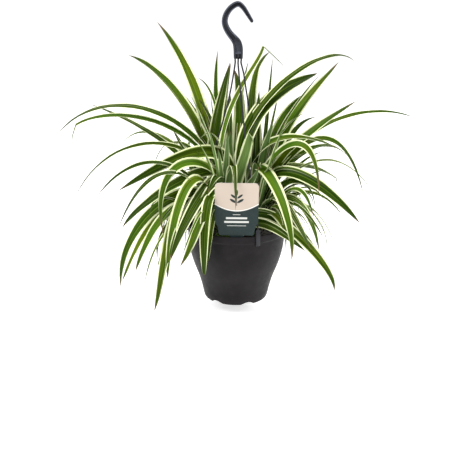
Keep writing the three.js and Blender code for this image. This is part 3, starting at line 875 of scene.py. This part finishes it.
def build_soil(soil, pot):
    """A low mound with a rough top, and loose crumbs on it."""
    edge, mound = soil.height / MM, soil.mound / MM
    inset = pot.wall / MM + GAP
    side = [(r - inset, z) for r, z in smooth_outline(POT_SIDE, POT_STEPS)[::2] if z < edge]
    wall = side[-1][0]
    top = []
    for i in range(1, SOIL["rings"]):
        share = 1 - i / SOIL["rings"]
        top.append((wall * share, edge + mound * (1 - share ** 2) - SOIL["dip"] * exp(-i)))
    foot = FLOOR["height"] + GAP
    bm = lathe([(0, foot), (SOIL["foot"], foot), *side, *top, (0, edge + mound)], SOIL["segments"])
    rim = wall * MM
    rough_from = BASE + (edge - SOIL["deep"]) * MM
    for vert in bm.verts:
        if vert.co.z > rough_from and vert.co.xy.length < rim - SOIL["margin"] * MM:
            vert.co.z += sum(high * MM * noise.noise(vert.co * close) for high, close in SOIL_BUMPS)
    draws = random.Random(CRUMB_SEED)
    for _ in range(soil.crumbs):
        out = (rim - CRUMB_MARGIN * MM) * sqrt(draws.random())
        share = out / rim
        at = polar(draws.uniform(0, 360), out, BASE + (edge + mound * (1 - share ** 2)) * MM)
        radius = soil.crumb_radius * draws.uniform(0.25, 1.0)
        made = bmesh.ops.create_icosphere(
            bm, subdivisions=1, radius=radius,
            matrix=Matrix.Translation(at) @ Matrix.Rotation(draws.uniform(0, 6), 4, "Y")
            @ Matrix.Diagonal((1.0, draws.uniform(0.6, 1.0), draws.uniform(0.5, 0.9), 1.0)),
        )
        for vert in made["verts"]:
            vert.co += (vert.co - at) * 0.5 * noise.noise(vert.co * CRUMB_DENTS)
    make_piece(bm, "soil_surface", [peat_material(soil)], ["potting_soil"])


def card_material(label):
    """The printed card: a pale upper part and a dark lower part, parted by a thin curved line."""
    nodes = new_material("printed_card")
    across, height_share = nodes.uv("card")
    centred = nodes.minus(across, 0.5)
    curve = nodes.times(nodes.times(centred, centred), 0.52)
    above = nodes.minus(height_share, nodes.plus(curve, 0.475))
    upper = nodes.fade(above, -0.002, 0.002)
    line = nodes.minus(1.0, nodes.fade(nodes.absolute(above), 0.006, 0.011))
    x = nodes.absolute(nodes.times(centred, label.width / MM))
    z = nodes.times(height_share, label.rise / MM)

    def bar(height, half_width, half_height):
        """A plain printed bar across the middle of the card, in millimetres."""
        within = nodes.absolute(nodes.minus(z, height))
        wide = nodes.fade(x, half_width - 0.2, half_width + 0.2, 1.0, 0.0)
        high = nodes.fade(within, half_height - 0.15, half_height + 0.15, 1.0, 0.0)
        return nodes.times(wide, high)

    def leaflet(out, height, long_half, wide_half, tilt):
        """One leaf of the printed sprig, and its twin across the card."""
        dx, dz = nodes.minus(x, out), nodes.minus(z, height)
        on, up = cos(radians(tilt)), sin(radians(tilt))
        p = nodes.times_plus(dx, on / long_half, nodes.times(dz, up / long_half))
        q = nodes.times_plus(dx, -up / wide_half, nodes.times(dz, on / wide_half))
        return nodes.fade(nodes.times_plus(p, p, nodes.times(q, q)), 0.9, 1.1, 1.0, 0.0)

    def joined(masks):
        total, *others = masks
        for mask in others:
            total = nodes.math("MAXIMUM", total, mask)
        return total

    bars = joined([bar(*row) for row in CARD_BARS])
    sprig = joined([leaflet(*row) for row in CARD_LEAFLETS] + [bar(*CARD_STEM)])
    fibre = nodes.grain(nodes.place(), 400.0, 3.0)
    colour = nodes.mix(upper, label.bottom_colour, label.top_colour)
    for share, ink in (
        (line, (0.88, 0.86, 0.82)),
        (bars, (0.62, 0.63, 0.6)),
        (sprig, (0.02, 0.03, 0.028)),
        (nodes.fade(fibre, 0.3, 0.8, 0.0, 0.02), (0.5, 0.5, 0.48)),
    ):
        colour = nodes.mix(share, colour, ink)
    return nodes.shade({
        "Base Color": colour,
        "Roughness": nodes.fade(fibre, 0.3, 0.7, 0.44, 0.55),
        "Specular IOR Level": 0.2,
        "Normal": nodes.bump(fibre, 0.15, 0.1 * MM),
    })


def card_edge_material():
    """The cut edge of the card, without print."""
    nodes = new_material("card_edge")
    fibre = nodes.grain(nodes.place(), 700.0, 3.0)
    colour = nodes.mix(fibre, (0.62, 0.6, 0.56), (0.8, 0.78, 0.74))
    return nodes.shade({"Base Color": colour, "Roughness": 0.8})


def card_outline(label):
    """The card with its stake, as places across and above the foot of the card."""
    half, rise = label.width / 2 / MM, label.rise / MM
    foot, stake, corner = LABEL_FOOT["half"], LABEL_STAKE, LABEL_CORNER
    shoulder = [(foot + x, z) for x, z in LABEL_SHOULDER] + [(half, LABEL_FOOT["taper"])]
    right = [(stake["half"], -stake["depth"]), (stake["half"], -stake["shoulder"]), (stake["neck"], 0)]
    right += smooth_outline(shoulder, LABEL_STEPS)
    right += quarter_round(half - corner, rise - corner, corner, 8)
    return right + [(-x, z) for x, z in reversed(right)]


def build_label(label):
    bm = bmesh.new()
    outline = [(x * MM, -label.thickness / 2, z * MM) for x, z in card_outline(label)]
    card = extrude_outline(bm, outline, (0, label.thickness, 0))
    uv = bm.loops.layers.uv.new("card")
    bm.normal_update()
    for face in bm.faces:
        face.material_index = 0 if abs(face.normal.y) > 0.5 else 1
        for loop in face.loops:
            loop[uv].uv = (0.5 + loop.vert.co.x / label.width, loop.vert.co.z / label.rise)
    rounded(bm, card, LABEL_BEVEL * MM, 1, radians(60))
    bmesh.ops.triangulate(bm, faces=[f for f in bm.faces if len(f.verts) > 4])
    at = Vector((0, -LABEL_AT["out"] * MM, BASE + LABEL_AT["height"] * MM))
    bm.transform(Matrix.Translation(at) @ Matrix.Rotation(label.lean, 4, "X"))
    materials = [card_material(label), card_edge_material()]
    make_piece(bm, "label_card", materials, ["plant_label"])


def seeded_rows(plan, habits, seed):
    """Leaves for each rosette from seeded draws: the numbers and angles of a plan, in given habits."""
    def draw():
        nonlocal seed
        seed = seed * DRAW_FACTOR % DRAW_MODULUS
        return seed / DRAW_MODULUS

    rows = {name: [] for name in CROWN_ANGLES}
    for name in CROWN_ANGLES:
        for habit, (count, start, end) in plan[name].items():
            width, lower, upper, tip, stray = habits[habit]
            for i in range(count):
                angle = start + (end - start) * (i + 0.2 + 0.6 * draw()) / count
                far = draw() - 0.5
                high = draw() - 0.5
                rows[name].append((
                    angle, width + 4 * (draw() - 0.5), 20 * draw(),
                    (lower[0] + 8 * far, lower[1] + 12 * high),
                    (upper[0] + 0.7 * stray[0] * far, upper[1] + 0.6 * stray[1] * high),
                    (tip[0] + stray[0] * 2 * far, tip[1] + stray[1] * 2 * high),
                ))
    return rows


def blade_share(t):
    """The share of its full width that a blade has, from 0 at its root to 1 at its tip."""
    root = 0.5 + 0.5 * min(1.0, t / WIDEST)
    return root * (1 - max(0.0, (t - WIDEST) / (1 - WIDEST)) ** 2.6)


def leaf_root(crown_angle, angle):
    """Where on its rosette's stool a leaf grows from, and the middle of the rosette."""
    crown = polar(crown_angle, CROWN_RING)
    off = (angle - crown_angle + 540) % 360 - 180
    along = max(-1.0, min(1.0, off / CROWN_SPREAD)) * (STOOL["length"] - STOOL["width"]) / 2
    return polar(crown_angle + 90, along, STOOL["top"] - STOOL["sink"], crown), crown


def bezier(controls, t):
    """The point of a cubic curve at t."""
    shares = ((1 - t) ** 3, 3 * t * (1 - t) ** 2, 3 * t * t * (1 - t), t ** 3)
    return sum((c * k for c, k in zip(controls, shares)), Vector())


def leaf_line(crown_angle, row, fold, along):
    """The middle of a leaf from its root through its two places to its tip, and on past a fold."""
    angle, _, _, lower, upper, tip = row
    root, crown = leaf_root(crown_angle, angle)
    a, b, end = (polar(angle, out, height, crown) for out, height in (lower, upper, tip))
    controls = (
        root, (-5 * root + 18 * a - 9 * b + 2 * end) / 6,
        (2 * root - 9 * a + 18 * b - 5 * end) / 6, end,
    )
    beyond = round(along * FOLD_SHARE) if fold else 0
    first = along - beyond
    line = [bezier(controls, j / first) for j in range(first + 1)]
    if fold:
        over, last = (polar(angle, out, height, crown) for out, height in fold)
        line += [bezier((end, over, over, last), j / beyond) for j in range(1, beyond + 1)]
    return line


def blade_layers(bm):
    """The layers that a blade's material reads: the shares round and along it, and its tone."""
    return bm.loops.layers.uv.new("blade"), bm.verts.layers.float.new("tone")


def add_blade(bm, leaf, layers, crown_angle, row, draws, grid, known=None):
    """One leaf: a channelled blade with a slight twist, sway and ripple of its own.

    known is its rosette and row, where it has a fold, tone or turn of its own.
    """
    uv, tone_layer = layers
    around, along = grid
    angle, width, turn = row[:3]
    line = leaf_line(crown_angle, row, FOLDS.get(known), along)
    level = Vector((cos(radians(angle)), sin(radians(angle)), 0))
    sense = -1 if sin(radians(angle)) < 0 else 1
    sway, phase = draws.uniform(-SWAY, SWAY), draws.uniform(0, 2 * pi)
    twist = draws.uniform(-TWIST, TWIST)
    wave, wave_phase = draws.uniform(*RIPPLE), draws.uniform(0, 2 * pi)
    chance_tone = draws.random()
    # A listed tone stands in for chance; the darkest listed one is painted shade.
    tone = TONES_AND_PAINTED_SHADE.get(known, chance_tone)
    first_turn, last_turn = ROLLS.get(known, (turn, turn))
    waves = sum((q - p).length for p, q in zip(line, line[1:])) / RIPPLE_LENGTH
    frames = []
    for j, (p, on) in enumerate(zip(line, ways_on(line))):
        t = j / along
        turned = (first_turn + (last_turn - first_turn) * t) * sense * min(1.0, t / TURNED)
        roll = radians(turned + twist * sin(2.6 * t + phase) * t)
        across = Quaternion(on, roll) @ level
        frames.append((p + level * sway * t * sin(2.4 * t + phase), across, on.cross(across)))

    def place(s, t):
        centre, across, face = frames[round(t * along)]
        u = 2 * s if s < 0.5 else 2 - 2 * s
        side = 2 * u - 1
        half = width * blade_share(t) / 2
        rise = leaf.channel * half * (1.35 - 0.6 * t) * abs(side) ** 1.25
        ripple = wave * side ** 2 * sin(2 * pi * waves * t + wave_phase + 1.2 * side)
        ripple *= min(1.0, t / 0.2) * min(1.0, half / 4)
        body = leaf.thickness / MM * (1 - 0.72 * side * side) * (1 - 0.55 * t) / 2
        body *= min(1.0, (1 - t) / 0.08)
        upper_side = 1 if s < 0.5 else -1
        thick = 0.0 if abs(side) == 1 else upper_side * body
        point = centre + across * side * half + face * (rise + ripple + thick)
        return point * MM + Vector((0, 0, BASE))

    for vert in roll_grid(bm, around, along, place, uv, lambda s, t: (2 * s, t)):
        vert[tone_layer] = tone


def leaf_material(leaf):
    """A striped blade: green bands and fine veins lengthwise, cream margins, and a paler underside."""
    nodes = new_material("striped_leaf")
    around, t = nodes.uv("blade")
    u = nodes.minus(1.0, nodes.absolute(nodes.minus(around, 1.0)))
    under = nodes.math("GREATER_THAN", around, 1.0)
    tone = nodes.make("Attribute", attribute_name="tone").outputs["Fac"]

    def streaks(across, along, shift):
        """Noise drawn out along the blade, different on each leaf."""
        places = (nodes.times(u, across), nodes.times(t, along), nodes.times_plus(tone, 37.0, shift))
        return nodes.grain(nodes.make("CombineXYZ", enumerate(places)).outputs[0], 1.0, 2.0)

    off_centre = nodes.times(nodes.absolute(nodes.minus(u, 0.5)), 2.0)
    jitter = nodes.times(nodes.minus(streaks(1.5, 7.0, 3.0), 0.5), 0.2)
    uneven = nodes.times(nodes.minus(tone, 0.5), 0.16)
    ragged = nodes.plus(nodes.plus(off_centre, jitter), uneven)
    edge = 1.0 - leaf.margin
    towards_tip = nodes.fade(t, 0.76, 0.94, 1.0, 0.1)
    margin = nodes.times(nodes.fade(ragged, edge - 0.03, edge + 0.03), towards_tip)
    vein = streaks(17.0, 1.1, 11.0)
    depth = nodes.times_plus(tone, 0.55, nodes.times(streaks(5.0, 0.8, 19.0), 0.7))
    fresh, olive = tinted(leaf.green, FRESH), tinted(leaf.green, OLIVE)
    green = nodes.mix(nodes.fade(streaks(0.5, 1.8, 43.0), 0.38, 0.62), fresh, olive)
    body = nodes.mix(nodes.fade(depth, 0.3, 0.92), leaf.deep_green, green)
    pale_stripe = tuple(0.5 * (a + b) for a, b in zip(leaf.cream, leaf.lime))
    for share, colour in (
        (nodes.fade(vein, 0.5, 0.78, 0.0, 0.5), leaf.lime),
        (nodes.fade(ragged, edge - 0.16, edge - 0.04, 0.0, 0.22), leaf.lime),
        (nodes.fade(off_centre, 0.03, 0.12, 0.25, 0.0), leaf.lime),
        (nodes.times(nodes.fade(streaks(8.0, 0.5, 29.0), 0.62, 0.7), 0.55), pale_stripe),
        (nodes.fade(t, 0.0, 0.2, 0.3, 0.0), PALE_ROOT),
        (nodes.fade(t, 0.6, 0.97, 0.0, 0.6), leaf.deep_green),
    ):
        body = nodes.mix(share, body, colour)
    cream = nodes.mix(nodes.fade(vein, 0.35, 0.7), tinted(leaf.cream, SHADED_CREAM), leaf.cream)
    colour = nodes.mix(margin, body, cream)
    colour = nodes.mix(nodes.times(under, 0.4), colour, leaf.underside)
    dry = nodes.fade(nodes.plus(t, nodes.times(tone, 0.03)), 0.93, 1.01)
    return nodes.shade({
        "Base Color": nodes.mix(dry, colour, DRY_TIP),
        "Roughness": nodes.fade(vein, 0.3, 0.7, 0.38, 0.48),
        "Specular IOR Level": 0.08,
        "Normal": nodes.bump(vein, 0.35, 0.3 * MM),
    })


def build_rosette(leaf, name, rows, material):
    """One rosette: its short stool and every leaf that grows from it."""
    bm = bmesh.new()
    layers = blade_layers(bm)
    crown_angle = CROWN_ANGLES[name]
    middle = polar(crown_angle, CROWN_RING)
    long_way = polar(crown_angle + 90, 1.0)
    short_way = polar(crown_angle, 1.0)
    half_length, half_width = STOOL["length"] / 2, STOOL["width"] / 2
    last = len(STOOL_RINGS) - 1

    def place(s, t):
        level, share = STOOL_RINGS[round(t * last)]
        height = (STOOL["foot"] + STOOL["top"]) / 2 + level * (STOOL["top"] - STOOL["foot"]) / 2
        turn = 2 * pi * s
        flat = long_way * cos(turn) * half_length + short_way * sin(turn) * half_width
        point = middle + flat * share
        return Vector((point.x * MM, point.y * MM, BASE + height * MM))

    roll_grid(bm, STOOL_SIDES, last, place, layers[0], lambda s, t: (0.5, 0.02))
    draws = random.Random(ROSETTE_SEED + len(rows))
    for number, row in enumerate(rows):
        add_blade(bm, leaf, layers, crown_angle, row, draws, BLADE_GRID, (name, number))
    make_piece(bm, f"leaves_{name}", [material], [f"rosette_{name}"], LEAF_SHARP)


def build_loose_leaves(leaf, name, plan, seed, grid, material):
    """Leaves of all the rosettes in one piece, with the faces that each has round and along it."""
    bm = bmesh.new()
    layers = blade_layers(bm)
    draws = random.Random(seed)
    for rosette, rows in plan.items():
        for row in rows:
            add_blade(bm, leaf, layers, CROWN_ANGLES[rosette], row, draws, grid)
    make_piece(bm, name, [material], (), LEAF_SHARP)


def build_floor(studio):
    bm = bmesh.new()
    bmesh.ops.create_circle(bm, cap_ends=True, radius=FLOOR_RADIUS, segments=96)
    bmesh.ops.translate(bm, verts=bm.verts, vec=(0, 0, BASE - studio.floor_drop))
    floor = new_object(bm, "studio_floor")
    floor.data.materials.append(new_material("pale_floor").shade({
        "Base Color": (0.93, 0.93, 0.93),
        "Roughness": 0.06,
        "IOR": 1.3,
        "Emission Color": (1.0, 1.0, 1.0),
        "Emission Strength": 0.66,
    }))


def add_light(name, place, size, power):
    data = bpy.data.lights.new(name, "AREA")
    data.shape = "DISK"
    data.size = size
    data.energy = power
    light = bpy.data.objects.new(name, data)
    light.location = place
    light.rotation_mode = "QUATERNION"
    light.rotation_quaternion = (Vector(LIT_PLACE) - Vector(place)).to_track_quat("-Z", "Y")
    light.visible_camera = False
    bpy.context.scene.collection.objects.link(light)


def build_studio(studio):
    scene = bpy.context.scene
    build_floor(studio)
    for name, (place, size, share) in LIGHTS.items():
        add_light(name, place, size, studio.key_power * share)
    nodes = Nodes(bpy.data.worlds.new("pale_surround"))
    seen = nodes.make("LightPath").outputs["Is Camera Ray"]
    strength = nodes.fade(seen, 0.0, 1.0, studio.sky, 1.0)
    scene.world = nodes.shade({"Color": (1.0, 1.0, 1.0), "Strength": strength})
    scene.view_settings.view_transform = "Standard"

    camera_data = bpy.data.cameras.new("camera")
    camera_data.lens = studio.lens
    camera_data.sensor_width = 36.0
    camera_data.clip_end = 100.0
    camera = bpy.data.objects.new("camera", camera_data)
    back = Vector((0, -cos(studio.elevation), sin(studio.elevation)))
    camera.location = Vector(CAMERA_AIM) + back * studio.distance
    camera.rotation_mode = "QUATERNION"
    level = (-back).to_track_quat("-Z", "Y")
    camera.rotation_quaternion = level @ Quaternion((0, 0, 1), CAMERA_ROLL)
    scene.collection.objects.link(camera)
    scene.camera = camera


class SPIDERPLANT_OT_pot(Operator):
    """Build the pot with its rounded rim, drain holes and notched foot"""

    bl_idname = "spiderplant.pot"
    bl_label = "Pot"

    def execute(self, context):
        build_pot(context.scene.spider_plant.pot)
        return {"FINISHED"}


class SPIDERPLANT_OT_hook(Operator):
    """Build the hook and its hub"""

    bl_idname = "spiderplant.hook"
    bl_label = "Hook"

    def execute(self, context):
        build_hook(context.scene.spider_plant.hanger)
        return {"FINISHED"}


class SPIDERPLANT_OT_arms(Operator):
    """Build the three rods with their clips"""

    bl_idname = "spiderplant.arms"
    bl_label = "Hanger Arms"

    def execute(self, context):
        settings = context.scene.spider_plant
        plastic = moulded_plastic(
            "slate_plastic", settings.hanger.rod_colour, HANGER_ROUGHNESS, HANGER_GRAIN)
        for name in ARMS:
            build_arm(settings.hanger, settings.pot, name, plastic)
        return {"FINISHED"}


class SPIDERPLANT_OT_soil(Operator):
    """Build the potting soil with its crumbs"""

    bl_idname = "spiderplant.soil"
    bl_label = "Potting Soil"

    def execute(self, context):
        settings = context.scene.spider_plant
        build_soil(settings.soil, settings.pot)
        return {"FINISHED"}


class SPIDERPLANT_OT_label(Operator):
    """Build the card label on its stake"""

    bl_idname = "spiderplant.label"
    bl_label = "Plant Label"

    def execute(self, context):
        build_label(context.scene.spider_plant.label)
        return {"FINISHED"}


class SPIDERPLANT_OT_leaves(Operator):
    """Build the three rosettes of striped leaves, with the thin and young leaves among them"""

    bl_idname = "spiderplant.leaves"
    bl_label = "Striped Leaves"

    def execute(self, context):
        leaf = context.scene.spider_plant.leaf
        material = leaf_material(leaf)
        fillers = seeded_rows(FILLERS, HABITS, FILLER_SEED)
        young = seeded_rows(YOUNG, YOUNG_HABITS, YOUNG_SEED)
        for name in CROWN_ANGLES:
            build_rosette(leaf, name, LEAVES[name] + fillers[name], material)
        build_loose_leaves(leaf, "thin_leaves", THIN_LEAVES, THIN_SHAPES, THIN_GRID, material)
        build_loose_leaves(leaf, "young_leaves", young, YOUNG_SHAPES, YOUNG_GRID, material)
        return {"FINISHED"}


class SPIDERPLANT_OT_studio(Operator):
    """Set up the floor, the soft light and the camera"""

    bl_idname = "spiderplant.studio"
    bl_label = "Studio"

    def execute(self, context):
        build_studio(context.scene.spider_plant.studio)
        return {"FINISHED"}


OPERATORS = (
    SPIDERPLANT_OT_studio, SPIDERPLANT_OT_pot, SPIDERPLANT_OT_soil, SPIDERPLANT_OT_hook,
    SPIDERPLANT_OT_arms, SPIDERPLANT_OT_label, SPIDERPLANT_OT_leaves,
)


class SPIDERPLANT_PT_pieces(Panel):
    """Lists the pieces of the plant with their sizes"""

    bl_idname = "SPIDERPLANT_PT_pieces"
    bl_label = "Spider Plant"
    bl_space_type = "VIEW_3D"
    bl_region_type = "UI"
    bl_category = "Spider Plant"

    def draw(self, context):
        settings = context.scene.spider_plant
        for part in ("pot", "hanger", "soil", "label", "leaf", "studio"):
            group = getattr(settings, part)
            box = self.layout.box()
            for name in group.bl_rna.properties.keys():
                if name not in {"rna_type", "name"}:
                    box.prop(group, name)
        for operator in OPERATORS:
            self.layout.operator(operator.bl_idname)


CLASSES = (
    PotSettings, HangerSettings, SoilSettings, LabelSettings, LeafSettings, StudioSettings,
    SpiderPlantSettings, *OPERATORS, SPIDERPLANT_PT_pieces,
)


def register():
    for cls in CLASSES:
        bpy.utils.register_class(cls)
    bpy.types.Scene.spider_plant = PointerProperty(type=SpiderPlantSettings)


def unregister():
    del bpy.types.Scene.spider_plant
    for cls in reversed(CLASSES):
        bpy.utils.unregister_class(cls)


def main():
    register()
    bpy.ops.spiderplant.studio()
    bpy.ops.spiderplant.pot()
    bpy.ops.spiderplant.soil()
    bpy.ops.spiderplant.hook()
    bpy.ops.spiderplant.arms()
    bpy.ops.spiderplant.label()
    bpy.ops.spiderplant.leaves()


if __name__ == "__main__":
    main()
